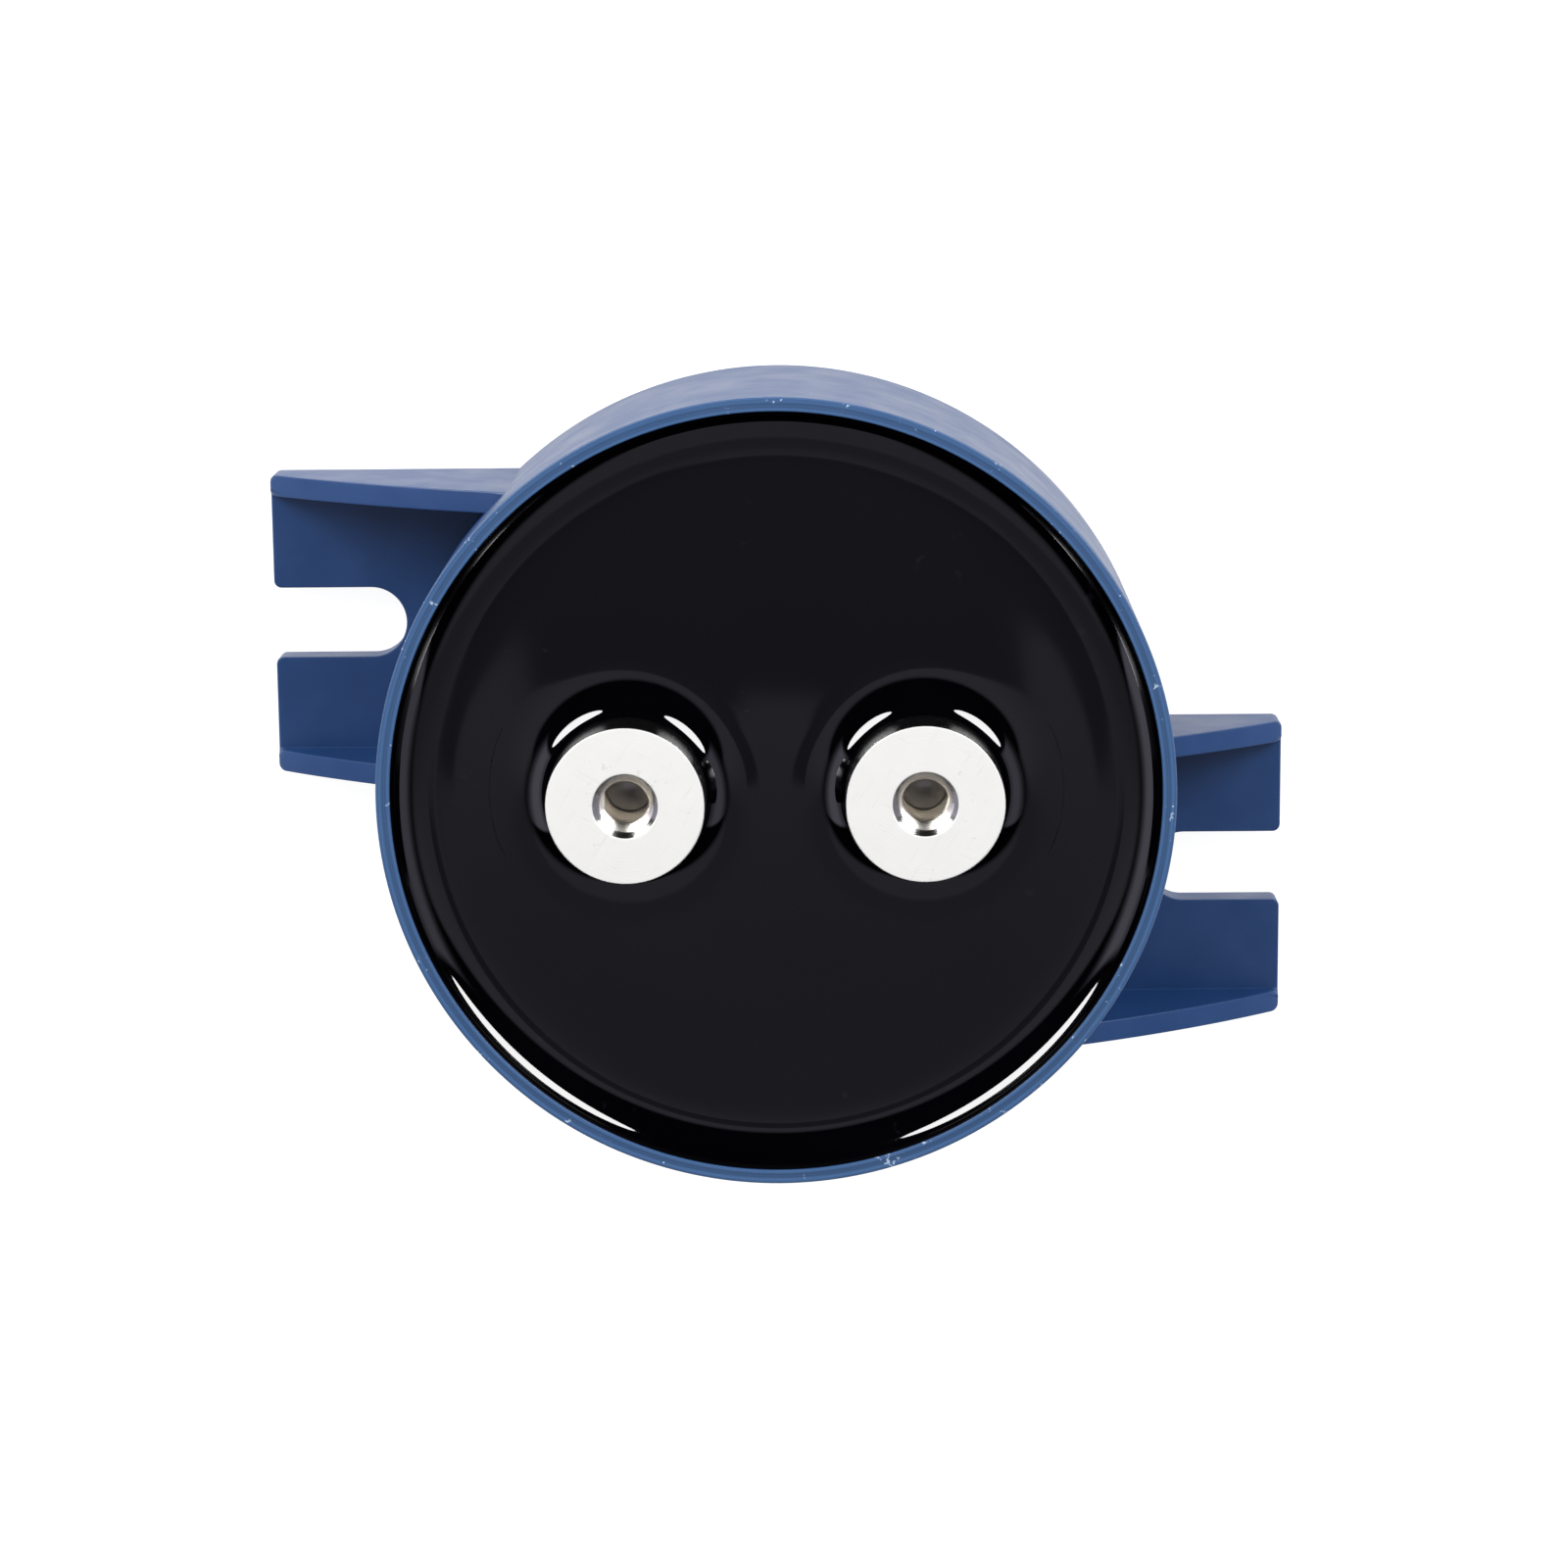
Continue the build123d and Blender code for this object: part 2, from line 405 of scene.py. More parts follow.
class ShaderKit:
    """Builds each shared shader group once and places it in materials."""

    def __init__(self) -> None:
        """Build every group."""
        plans = (
            (Kit.GRAIN, {"Scale": 900.0, "Mottle Scale": 120.0}, ("Height", "Mottle"), self._grain),
            (Kit.RINGS, {"Centre X": 0.0, "Pitch": 0.12 * MM}, ("Height", "Radius"), self._rings),
            (Kit.SCRATCHES, {"Scale": 300.0, "Density": 0.5}, ("Mask",), self._scratches),
            (Kit.SPECKS, {"Scale": 700.0, "Amount": 0.3}, ("Mask",), self._specks),
        )
        self.groups = {plan[0]: self._build(*plan) for plan in plans}

    @staticmethod
    def _build(
        kind: Kit,
        inputs: dict[str, float],
        outputs: Sequence[str],
        fill: Callable[[Graph, Socket, Sequence[Socket]], Sequence],
    ) -> bpy.types.NodeTree:
        """Make one group.

        Args:
            kind: Which group.
            inputs: Value inputs and their defaults; a Place vector comes first.
            outputs: Names of the value outputs.
            fill: Builds the inside and returns one socket per output.

        Returns:
            The group's node tree.
        """
        tree = bpy.data.node_groups.new(kind.value, "ShaderNodeTree")
        tree.interface.new_socket("Place", in_out="INPUT", socket_type="NodeSocketVector")
        for name, default in inputs.items():
            socket = tree.interface.new_socket(name, in_out="INPUT", socket_type="NodeSocketFloat")
            socket.default_value = default
        for name in outputs:
            tree.interface.new_socket(name, in_out="OUTPUT", socket_type="NodeSocketFloat")
        graph = Graph(tree)
        entry = graph.add("NodeGroupInput")
        leave = graph.add("NodeGroupOutput")
        results = fill(graph, entry.outputs["Place"], [entry.outputs[name] for name in inputs])
        for name, result in zip(outputs, results):
            graph.feed(leave.inputs[name], result)
        return tree

    @staticmethod
    def _grain(graph: Graph, place: object, inputs: Sequence) -> Sequence:
        """Fine pits of a moulded skin, and slow patches of tone."""
        scale, mottle_scale = inputs
        fine = graph.noise(place, scale, 3.0, 0.6)
        slow = graph.noise(place, mottle_scale, 4.0, 0.55)
        return fine, graph.ramp(slow, 0.3, 0.7)

    @staticmethod
    def _rings(graph: Graph, place: object, inputs: Sequence) -> Sequence:
        """Concentric tool marks round an upright axis."""
        centre_x, pitch = inputs
        x, y, _ = graph.split(place)
        across = graph.squared(graph.math("SUBTRACT", x, centre_x))
        radius = graph.math("SQRT", graph.plus(across, graph.squared(y)))
        steps = graph.math("DIVIDE", radius, pitch)
        node = graph.add("ShaderNodeTexNoise", noise_dimensions="1D")
        graph.feed(node.inputs["W"], steps)
        graph.feed(node.inputs["Scale"], 1.0)
        graph.feed(node.inputs["Detail"], 2.0)
        return node.outputs[0], radius

    @staticmethod
    def _scratches(graph: Graph, place: object, inputs: Sequence) -> Sequence:
        """Thin lines in two directions, broken up along their length."""
        scale, density = inputs
        masks = []
        for angle in (0.5, 2.1):
            turn = graph.add("ShaderNodeVectorRotate", rotation_type="Z_AXIS")
            graph.feed(turn.inputs["Vector"], place)
            graph.feed(turn.inputs["Angle"], angle)
            along = graph.stretched(turn.outputs[0], (0.06, 1.6, 1.0))
            lines = graph.noise(along, scale, 3.0, 0.7)
            off_line = graph.math("ABSOLUTE", graph.math("SUBTRACT", lines, 0.5))
            breaks = graph.noise(turn.outputs[0], graph.times(scale, 0.5), 2.0, 0.6)
            whole = graph.ramp(breaks, graph.between(density, 0.8, 0.4), 0.8)
            masks.append(graph.times(graph.fall(off_line, 0.0, 0.02), whole))
        return (graph.math("MAXIMUM", *masks),)

    @staticmethod
    def _specks(graph: Graph, place: object, inputs: Sequence) -> Sequence:
        """Scattered rubbed specks."""
        scale, amount = inputs
        grains = graph.noise(place, scale, 2.0, 0.6)
        patches = graph.noise(place, graph.times(scale, 0.21), 2.0, 0.5)
        level = graph.plus(graph.times(grains, 0.6), graph.times(patches, 0.4))
        limit = graph.between(amount, 0.75, 0.45)
        return (graph.ramp(level, limit, graph.plus(limit, 0.06)),)

    def put(self, graph: Graph, kind: Kit, place: object, **values: float) -> bpy.types.Node:
        """Place a group in a material.

        Args:
            graph: The material's graph.
            kind: Which group.
            place: The coordinates that it reads.
            **values: Input values, with _ for a space.

        Returns:
            The group node.
        """
        node = graph.add("ShaderNodeGroup", node_tree=self.groups[kind])
        graph.feed(node.inputs["Place"], place)
        for name, value in values.items():
            graph.feed(node.inputs[name.replace("_", " ")], value)
        return node


def new_material(name: str) -> tuple[Material, Graph, bpy.types.Node]:
    """A material with its graph and its Principled shader."""
    material = bpy.data.materials.new(name)
    material.use_nodes = True
    graph = Graph(material.node_tree)
    return material, graph, material.node_tree.nodes["Principled BSDF"]


def tinted(colour: Colour, factor: float) -> Colour:
    """A colour made lighter or darker by a factor."""
    return tuple(min(1.0, part * factor) for part in colour)


def around(middle: float, spread: float) -> Point:
    """The numbers as far below and above a middle one."""
    return middle - spread, middle + spread


# ---------------------------------------------------------------- finishes


@dataclass(frozen=True)
class MouldedPlastic:
    """Blue moulded plastic with a fine grain, a rim painted lighter as rubbing wear and painted
    sheen, and painted shade on the inner wall under the rim.
    """

    colour: Colour = (0.0085, 0.0395, 0.1330)
    mottle: Point = (0.95, 1.07)
    worn_colour: Colour = (0.38, 0.48, 0.62)
    worn_share: float = 0.8
    # The rim top is painted lighter, partly rubbing wear and partly painted sheen; the streak
    # factors paint light and dark lines on it.
    crest_wear_and_sheen_colour: Colour = (0.029, 0.076, 0.180)
    crest_light_and_shade_streaks: Point = (0.72, 1.30)
    # Painted shade: near-black colour for the inner wall under the rim, above the resin.
    wall_shade_colour: Colour = (0.0012, 0.0011, 0.0016)
    gloss: float = 0.5
    # Gloss of that painted shade on the inner wall.
    wall_shade_gloss: float = 0.08
    ior: float = 1.40
    roughness: float = 0.42
    roughness_spread: float = 0.05
    skin_gloss: float = 0.10
    skin_roughness: float = 0.26
    grain_scale: float = 1500.0
    mottle_scale: float = 160.0
    grain_height: float = 0.018 * MM
    speck_scale: float = 1400.0
    speck_amount: float = 0.42
    streak_pitch: float = 0.30 * MM
    rim_height: float = 34.0 * MM
    rim_inner: float = 40.75 * MM

    def material(self, kit: ShaderKit) -> Material:
        """Build the material."""
        material, graph, shader = new_material("Moulded blue plastic")
        place = graph.place()
        _, _, height = graph.split(place)
        grain = kit.put(
            graph, Kit.GRAIN, place, Scale=self.grain_scale, Mottle_Scale=self.mottle_scale
        )
        specks = kit.put(graph, Kit.SPECKS, place, Scale=self.speck_scale, Amount=self.speck_amount)
        rings = kit.put(graph, Kit.RINGS, place, Pitch=self.streak_pitch)
        mottle = grain.outputs["Mottle"]
        body = graph.mix(mottle, *(tinted(self.colour, factor) for factor in self.mottle))
        # Concentric light and dark streaks on the rim top: painted highlight and shade of its
        # ridges.
        ridge_light_and_shade = graph.ramp(rings.outputs["Height"], 0.30, 0.70)
        crest = graph.mix(
            ridge_light_and_shade, *(tinted(self.crest_wear_and_sheen_colour, factor) for factor in self.crest_light_and_shade_streaks)
        )
        rim = graph.ramp(height, self.rim_height - 0.30 * MM, self.rim_height - 0.02 * MM)
        colour = graph.mix(rim, body, crest)
        worn = graph.times(rim, self.worn_share, specks.outputs["Mask"])
        colour = graph.mix(worn, colour, self.worn_colour)
        radius = graph.length(graph.stretched(place, (1.0, 1.0, 0.0)))
        # Painted shade: the inner wall under the rim is painted near black, with less gloss and no
        # coat.
        painted_wall_shade = graph.times(
            graph.fall(radius, self.rim_inner + 0.04 * MM, self.rim_inner + 0.16 * MM),
            graph.fall(height, self.rim_height - 0.40 * MM, self.rim_height - 0.15 * MM),
        )
        rough = around(self.roughness, self.roughness_spread)
        for name, value in (
            ("Base Color", graph.mix(painted_wall_shade, colour, self.wall_shade_colour)),
            ("Specular IOR Level", graph.between(painted_wall_shade, self.gloss, self.wall_shade_gloss)),
            ("Roughness", graph.between(mottle, *rough)),
            ("IOR", self.ior),
            ("Coat Weight", graph.between(painted_wall_shade, self.skin_gloss, 0.0)),
            ("Coat Roughness", self.skin_roughness),
            ("Normal", graph.bump(grain.outputs["Height"], self.grain_height)),
        ):
            graph.feed(shader.inputs[name], value)
        return material


@dataclass(frozen=True)
class CastResin:
    """Black cast resin with a wet gloss and a few sunk dust specks."""

    colour: Colour = (0.0004, 0.0003, 0.0006)
    haze_scale: float = 60.0
    haze_tint: float = 1.8
    dust_colour: Colour = (0.006, 0.006, 0.009)
    dust_share: float = 0.5
    dust_scale: float = 500.0
    dust_amount: float = 0.30
    roughness: float = 0.035
    roughness_spread: float = 0.015
    ior: float = 1.75
    gloss: float = 0.5
    glancing_gloss: float = 0.004
    glancing_from: float = 0.30
    glancing_to: float = 0.52
    ripple_scale: float = 45.0
    ripple_height: float = 0.05 * MM

    def material(self, kit: ShaderKit) -> Material:
        """Build the material."""
        material, graph, shader = new_material("Black cast resin")
        place = graph.place()
        specks = kit.put(graph, Kit.SPECKS, place, Scale=self.dust_scale, Amount=self.dust_amount)
        haze = graph.noise(place, self.haze_scale, 3.0, 0.5)
        colour = graph.mix(
            graph.ramp(haze, 0.3, 0.8), self.colour, tinted(self.colour, self.haze_tint)
        )
        dust = graph.times(specks.outputs["Mask"], self.dust_share)
        facing = graph.add("ShaderNodeLayerWeight").outputs["Facing"]
        gloss = graph.ramp(
            facing, self.glancing_from, self.glancing_to, self.gloss, self.glancing_gloss
        )
        ripple = graph.noise(place, self.ripple_scale, 1.0, 0.4)
        rough = around(self.roughness, self.roughness_spread)
        for name, value in (
            ("Base Color", graph.mix(dust, colour, self.dust_colour)),
            ("Roughness", graph.between(haze, *rough)),
            ("IOR", self.ior),
            ("Specular IOR Level", gloss),
            ("Normal", graph.bump(ripple, self.ripple_height)),
        ):
            graph.feed(shader.inputs[name], value)
        return material


@dataclass(frozen=True)
class TurnedMetal:
    """Tinned metal, turned on its face, with scuffs from handling; its side is painted dark, a
    painted reflection of the black resin.
    """

    colour: Colour = (0.86, 0.855, 0.84)
    mottle: float = 0.93
    mottle_scale: float = 260.0
    dull_colour: Colour = (0.62, 0.60, 0.57)
    hole_colour: Colour = (0.97, 0.93, 0.86)
    # Painted shade: dark grey for the side, standing in for the black resin that the metal
    # reflects.
    side_shade_colour: Colour = (0.15, 0.15, 0.16)
    face_metallic: float = 0.38
    roughness: float = 0.14
    face_roughness: float = 0.38
    hole_roughness: float = 0.16
    side_roughness: float = 0.10
    mark_roughness: float = 0.08
    scratch_scale: float = 420.0
    scratch_density: float = 0.85
    speck_scale: float = 900.0
    speck_amount: float = 0.45
    scuff_share: float = 0.55
    scuff_depth: float = 0.8
    ring_pitch: float = 0.10 * MM
    ring_height: float = 0.012 * MM
    face_height: float = 38.2 * MM
    hole_radius: float = 3.0 * MM
    side_radius: float = 8.375 * MM

    def material(self, kit: ShaderKit, name: str, centre_x: float) -> Material:
        """Build the material for a terminal whose axis stands at centre_x."""
        material, graph, shader = new_material(name)
        place = graph.place()
        _, _, height = graph.split(place)
        rings = kit.put(graph, Kit.RINGS, place, Centre_X=centre_x, Pitch=self.ring_pitch)
        scratches = kit.put(
            graph, Kit.SCRATCHES, place, Scale=self.scratch_scale, Density=self.scratch_density
        )
        specks = kit.put(graph, Kit.SPECKS, place, Scale=self.speck_scale, Amount=self.speck_amount)
        radius, top = rings.outputs["Radius"], self.face_height
        face = graph.ramp(height, top - 0.10 * MM, top - 0.02 * MM)
        inside = graph.times(
            graph.fall(radius, self.hole_radius, self.hole_radius + 0.25 * MM),
            graph.fall(height, top - 0.9 * MM, top - 0.4 * MM),
        )
        # Painted shade: the side below the face is painted dark grey, standing in for the black
        # resin that it reflects.
        side = graph.times(
            graph.ramp(radius, self.side_radius - 0.30 * MM, self.side_radius - 0.10 * MM),
            graph.fall(height, top - 0.50 * MM, top - 0.30 * MM),
        )
        marks = graph.math("MAXIMUM", scratches.outputs["Mask"], specks.outputs["Mask"])
        scuffed = graph.times(marks, face, self.scuff_share)
        tone = graph.noise(place, self.mottle_scale, 4.0, 0.6)
        skin = graph.mix(tone, tinted(self.colour, self.mottle), self.colour)
        skin = graph.mix(scuffed, skin, self.dull_colour)
        skin = graph.mix(inside, skin, self.hole_colour)
        rough = graph.plus(
            self.roughness,
            graph.times(face, self.face_roughness),
            graph.times(inside, self.hole_roughness),
            graph.times(side, self.side_roughness),
            graph.times(marks, self.mark_roughness),
        )
        scored = graph.times(scuffed, self.scuff_depth)
        relief = graph.times(graph.math("SUBTRACT", rings.outputs["Height"], scored), face)
        for socket, value in (
            ("Base Color", graph.mix(side, skin, self.side_shade_colour)),
            ("Metallic", graph.between(face, 1.0, self.face_metallic)),
            ("Roughness", rough),
            ("Normal", graph.bump(relief, self.ring_height)),
        ):
            graph.feed(shader.inputs[socket], value)
        return material


@dataclass(frozen=True)
class InnerFinish:
    """A finish of a piece inside the resin: two tones of a grained surface."""

    name: str
    light: Colour
    dark: Colour
    roughness: float
    metallic: float
    grain_scale: float
    grain_height: float
    ring_pitch: float = 0.0
    ring_share: float = 0.7
    roughness_spread: float = 0.06
    mottle_ratio: float = 7.0
    stretch: Colour = (1.0, 1.0, 1.0)

    def material(self, kit: ShaderKit) -> Material:
        """Build the material."""
        material, graph, shader = new_material(self.name)
        place = graph.place()
        grain = kit.put(
            graph,
            Kit.GRAIN,
            graph.stretched(place, self.stretch),
            Scale=self.grain_scale,
            Mottle_Scale=self.grain_scale / self.mottle_ratio,
        )
        relief = grain.outputs["Height"]
        if self.ring_pitch > 0:
            rings = kit.put(graph, Kit.RINGS, place, Pitch=self.ring_pitch)
            relief = graph.plus(
                graph.times(rings.outputs["Height"], self.ring_share),
                graph.times(relief, 1.0 - self.ring_share),
            )
        tone = graph.times(graph.plus(relief, grain.outputs["Mottle"]), 0.5)
        graph.feed(shader.inputs["Base Color"], graph.mix(tone, self.dark, self.light))
        rough = graph.between(tone, *around(self.roughness, self.roughness_spread))
        graph.feed(shader.inputs["Roughness"], rough)
        graph.feed(shader.inputs["Metallic"], self.metallic)
        graph.feed(shader.inputs["Normal"], graph.bump(relief, self.grain_height))
        return material


# ------------------------------------------------------------------ pieces


@dataclass
class MouldedCup:
    """The moulded cup with its rim and its two slotted, ribbed ears."""

    radius: float = 42.25 * MM
    height: float = 34.0 * MM
    wall: float = 1.5 * MM
    floor: float = 2.5 * MM
    foot_round: float = 0.5 * MM
    rim_outer_round: float = 0.22 * MM
    rim_inner_round: float = 0.14 * MM
    rim_groove_depth: float = 0.08 * MM
    ear_reach: float = 56.2 * MM
    ear_offset: float = 14.25 * MM
    ear_width: float = 33.4 * MM
    ear_plate: float = 3.9 * MM
    ear_corner_round: float = 0.8 * MM
    edge_round: float = 0.22 * MM
    slot_width: float = 7.8 * MM
    slot_seat_reach: float = 45.4 * MM
    rib_thickness: float = 2.4 * MM
    rib_tip_height: float = 4.5 * MM
    rib_root_height: float = 21.5 * MM
    rib_bulge: float = 1.2 * MM
    rim_groove_reach: float = 0.25 * MM
    rim_crown: float = 0.02 * MM
    flat_degrees: float = 0.5
    sharp_degrees: float = 35.0
    smooth_degrees: float = 32.0
    hidden_share: float = 0.66
    segments: int = 256
    arc_steps: int = 16
    corner_steps: int = 5
    edge_steps: int = 2
    foot_steps: int = 4
    outer_steps: int = 6
    inner_steps: int = 5

    def _shell_profile(self) -> list[Point]:
        """The cup's wall, from the middle of its foot round to the middle of its floor."""
        outer, inner = self.radius, self.radius - self.wall
        foot, out, inn = self.foot_round, self.rim_outer_round, self.rim_inner_round
        middle = (outer - out + inner + inn) / 2
        crown = self.height - self.rim_crown
        profile = [(0.0, 0.0)]
        profile += arc((outer - foot, foot), foot, -90, 0, self.foot_steps)
        profile += arc((outer - out, self.height - out), out, 0, 90, self.outer_steps)
        profile += [
            (middle + self.rim_groove_reach, crown),
            (middle, self.height - self.rim_groove_depth),
            (middle - self.rim_groove_reach, crown),
        ]
        profile += arc((inner + inn, self.height - inn), inn, 90, 180, self.inner_steps)
        profile += [(inner, self.floor), (0.0, self.floor)]
        return profile

    def _shell(self) -> Piece:
        """The cup without ears."""
        mesh = bmesh.new()
        spin_profile(mesh, self._shell_profile(), self.segments)
        weld(mesh)
        return to_object(mesh, "Cup shell")

    def _plate(self) -> Piece:
        """The ear's plate on the +X side, with its open slot."""
        mesh = bmesh.new()
        half_width, half_slot = self.ear_width / 2, self.slot_width / 2
        seat_start = mesh.verts.new((self.slot_seat_reach, half_slot - self.ear_offset, 0.0))
        centre = (self.slot_seat_reach, -self.ear_offset, 0.0)
        spin(mesh, [seat_start], centre, math.pi, self.arc_steps * 2)
        seat = sorted(mesh.verts, key=lambda v: v.co.y, reverse=True)
        corners = [
            mesh.verts.new((x, y - self.ear_offset, 0.0))
            for x, y in (
                (self.ear_reach, -half_slot),
                (self.ear_reach, -half_width),
                (0.0, -half_width),
                (0.0, half_width),
                (self.ear_reach, half_width),
                (self.ear_reach, half_slot),
            )
        ]
        base = fill_outline(mesh, seat + corners)
        extrude(mesh, base, Vector((0.0, 0.0, self.ear_plate)))
        return to_object(mesh, "Ear plate")

    def _rib(self, side: int) -> Piece:
        """One of the ear's two ribs; side is 1 or -1 along Y."""
        mesh = bmesh.new()
        far_edge = self.ear_offset + self.ear_width / 2
        root_x = math.sqrt(self.radius**2 - far_edge**2)
        tip = Vector((self.ear_reach, 0.0, self.rib_tip_height))
        root = Vector((root_x, 0.0, self.rib_root_height))
        half_chord = (root - tip).length / 2
        bow = (half_chord**2 + self.rib_bulge**2) / (2 * self.rib_bulge)
        across = Vector(((root - tip).z, 0.0, -(root - tip).x)).normalized()
        centre = (tip + root) / 2 - across * (bow - self.rib_bulge)
        sweep = 2 * math.asin(half_chord / bow)
        first = mesh.verts.new(tip)
        spin(mesh, [first], centre, sweep, self.arc_steps, axis=(0.0, -1.0, 0.0))
        crest = sorted(mesh.verts, key=lambda v: v.co.x, reverse=True)
        ends = [
            mesh.verts.new((x, 0.0, z))
            for x, z in (
                (root_x - self.wall, self.rib_root_height),
                (root_x - self.wall, 0.0),
                (self.ear_reach, 0.0),
            )
        ]
        base = fill_outline(mesh, crest + ends)
        low = min(side * self.ear_width / 2, side * (self.ear_width / 2 - self.rib_thickness))
        bmesh.ops.translate(mesh, verts=mesh.verts, vec=(0.0, low - self.ear_offset, 0.0))
        extrude(mesh, base, Vector((0.0, self.rib_thickness, 0.0)))
        return to_object(mesh, "Ear rib")

    def _ear(self) -> Piece:
        """One ear with its corners rounded and its edges broken."""
        ear = combine(self._plate(), [(self._rib(1), "UNION"), (self._rib(-1), "UNION")])
        mesh = bmesh.new()
        mesh.from_mesh(ear.data)
        bpy.data.objects.remove(ear)
        bmesh.ops.remove_doubles(mesh, verts=mesh.verts, dist=WELD_DISTANCE)
        flat = math.radians(self.flat_degrees)
        bmesh.ops.dissolve_limit(mesh, angle_limit=flat, verts=mesh.verts, edges=mesh.edges)
        tip = [edge for edge in mesh.edges if self._upright_at_tip(edge)]
        round_edges(mesh, tip, self.ear_corner_round, self.corner_steps)
        sharp = [edge for edge in mesh.edges if self._sharp_outside(edge)]
        round_edges(mesh, sharp, self.edge_round, self.edge_steps)
        bmesh.ops.recalc_face_normals(mesh, faces=mesh.faces)
        return to_object(mesh, "Ear")

    def _upright_at_tip(self, edge: Edge) -> bool:
        """Whether an edge is one of the upright corners at the ear's tip."""
        first, second = (vert.co for vert in edge.verts)
        upright = (first.xy - second.xy).length < WELD_DISTANCE
        return upright and abs(first.x - self.ear_reach) < MERGE_DISTANCE

    def _sharp_outside(self, edge: Edge) -> bool:
        """Whether an edge is sharp and shows outside the cup."""
        sharp = edge.is_manifold and edge.calc_face_angle(0.0) > math.radians(self.sharp_degrees)
        return sharp and max(vert.co.x for vert in edge.verts) > self.radius * self.hidden_share

    def _cavity(self) -> Piece:
        """A plug that keeps the ears out of the cup; its side lies inside the wall."""
        radius = self.radius - self.wall / 2
        bottom, top = self.floor / 2, self.height + self.wall
        mesh = bmesh.new()
        outline = [(0.0, bottom), (radius, bottom), (radius, top), (0.0, top)]
        spin_profile(mesh, outline, self.segments)
        weld(mesh)
        return to_object(mesh, "Cup cavity")

    def build(self, material: Material) -> Piece:
        """Build and dress the cup with both ears.

        Args:
            material: The moulded plastic.

        Returns:
            The finished piece.
        """
        right = combine(self._ear(), [(self._cavity(), "DIFFERENCE")])
        left = right.copy()
        left.data = right.data.copy()
        left.data.transform(Matrix.Rotation(math.pi, 4, "Z"))
        bpy.context.scene.collection.objects.link(left)
        cup = combine(self._shell(), [(right, "UNION"), (left, "UNION")])
        clean(cup)
        cup.name = cup.data.name = "moulded_cup"
        shade(cup, self.smooth_degrees)
        finish_piece(cup, material, "moulded_blue", ["case"])
        return cup


@dataclass
class PottingResin:
    """The cast resin: a flat pool that climbs the cup's wall and both terminals."""

    radius: float = 40.75 * MM
    bottom: float = 2.5 * MM
    level: float = 30.3 * MM
    terminal_x: float = 15.7 * MM
    terminal_radius: float = 8.375 * MM
    terminal_bottom: float = 22.8 * MM
    climb: float = 1.6 * MM
    climb_reach: float = 1.2 * MM
    swell: float = 0.16 * MM
    swell_reach: float = 3.2 * MM
    film: float = 0.04 * MM
    terminal_pool_edge: float = 6.6 * MM
    rim_pool_edge: float = 11.0 * MM
    rim_segments: int = 256
    terminal_segments: int = 160
    steps: int = 34
    smooth_degrees: float = 40.0

    def _climb(self, wall: float, outward: int, edge: float) -> list[Point]:
        """The profile of the resin's surface from a wall out to the flat pool.

        Args:
            wall: Radius of the wall that the resin climbs.
            outward: 1 if the pool lies outside the wall, -1 if inside.
            edge: Distance from the wall at which the surface is flat.

        Returns:
            Points from the wall to the flat pool.
        """
        points = [(wall, self.level + self.climb + self.swell + self.film)]
        for i in range(self.steps + 1):
            share = i / self.steps
            away = self.film + (edge - self.film) * share**2
            steep = self.climb * math.exp(-away / self.climb_reach)
            gentle = self.swell * math.exp(-away / self.swell_reach)
            settle = 0.5 * (1 + math.cos(math.pi * share**2))
            points.append((wall + outward * away, self.level + (steep + gentle) * settle))
        return points

    def build(self, material: Material) -> Piece:
        """Build and dress the resin.

        Args:
            material: The cast resin.

        Returns:
            The finished piece.
        """
        mesh = bmesh.new()
        rim = self._climb(self.radius, -1, self.rim_pool_edge)
        skirt = [(0.0, self.bottom), (self.radius, self.bottom)]
        spin_profile(mesh, skirt + rim, self.rim_segments)
        for side in (-1, 1):
            centre = side * self.terminal_x
            post = self._climb(self.terminal_radius, 1, self.terminal_pool_edge)
            socket = [(0.0, self.terminal_bottom), (self.terminal_radius, self.terminal_bottom)]
            spin_profile(mesh, socket + post, self.terminal_segments, centre)
        bmesh.ops.remove_doubles(mesh, verts=mesh.verts, dist=WELD_DISTANCE)
        pool_edges = [edge for edge in mesh.edges if edge.is_boundary]
        bmesh.ops.triangle_fill(
            mesh, edges=pool_edges, use_beauty=True, use_dissolve=False, normal=(0.0, 0.0, 1.0)
        )
        weld(mesh)
        resin = to_object(mesh, "cast_resin")
        shade(resin, self.smooth_degrees)
        finish_piece(resin, material, "black_resin", ["potting_resin"])
        return resin


